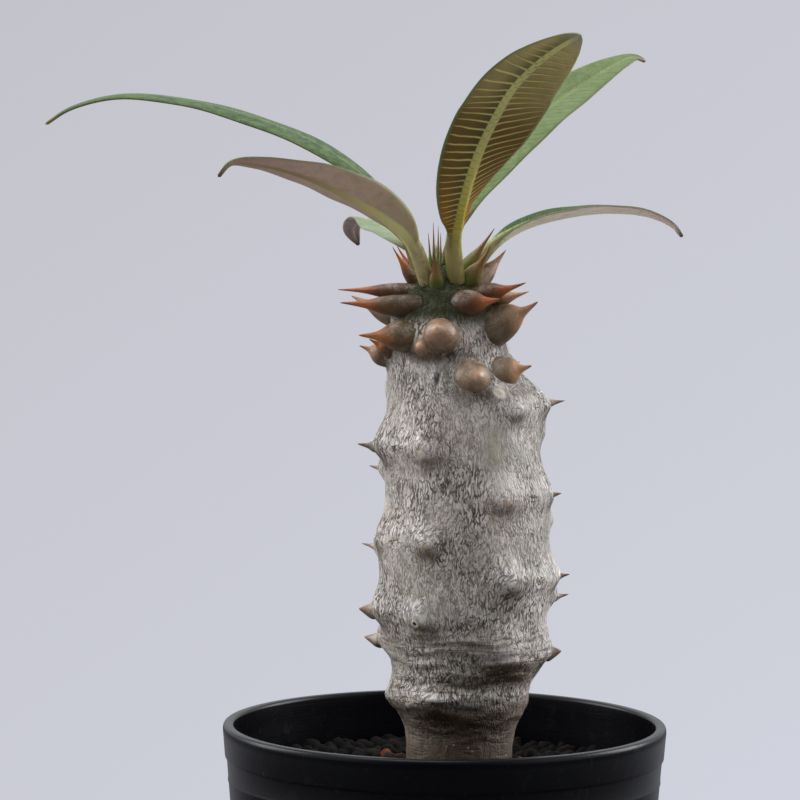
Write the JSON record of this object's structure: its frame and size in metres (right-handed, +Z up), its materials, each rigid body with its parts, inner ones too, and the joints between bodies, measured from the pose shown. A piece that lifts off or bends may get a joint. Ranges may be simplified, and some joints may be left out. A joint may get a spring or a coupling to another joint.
{
  "type": "potted pachypodium baronii",
  "caption": "Young spiny succulent with a swollen bark-covered trunk and long arching leaves, growing from dark grit in a round black nursery pot; a decorative house plant.",
  "frame": {"origin": "middle of the pot's flat base, on the surface that it stands on", "axes": "+Z up along the pot and the trunk, the picture's viewer on the -Y side, +X to the viewer's right"},
  "size_m": [0.1306, 0.1047, 0.2178],
  "materials": {
    "pot": "satin black plastic, lightly scuffed and dusty at the rim",
    "soil": "matt dry potting grit of bark and clay grains, near black with rusty brown pieces",
    "stem": "silvery fissured bark, smooth brown thorn bodies with orange-brown spines",
    "leaf": "smooth waxy green above, brownish purple below with pale veins"
  },
  "bodies": {
    "root": {"pot": "pot", "soil": "soil", "stem": "stem", "leaf_1": "leaf", "leaf_2": "leaf", "leaf_3": "leaf", "leaf_4": "leaf", "leaf_5": "leaf", "leaf_6": "leaf"}
  },
  "joints": []
}
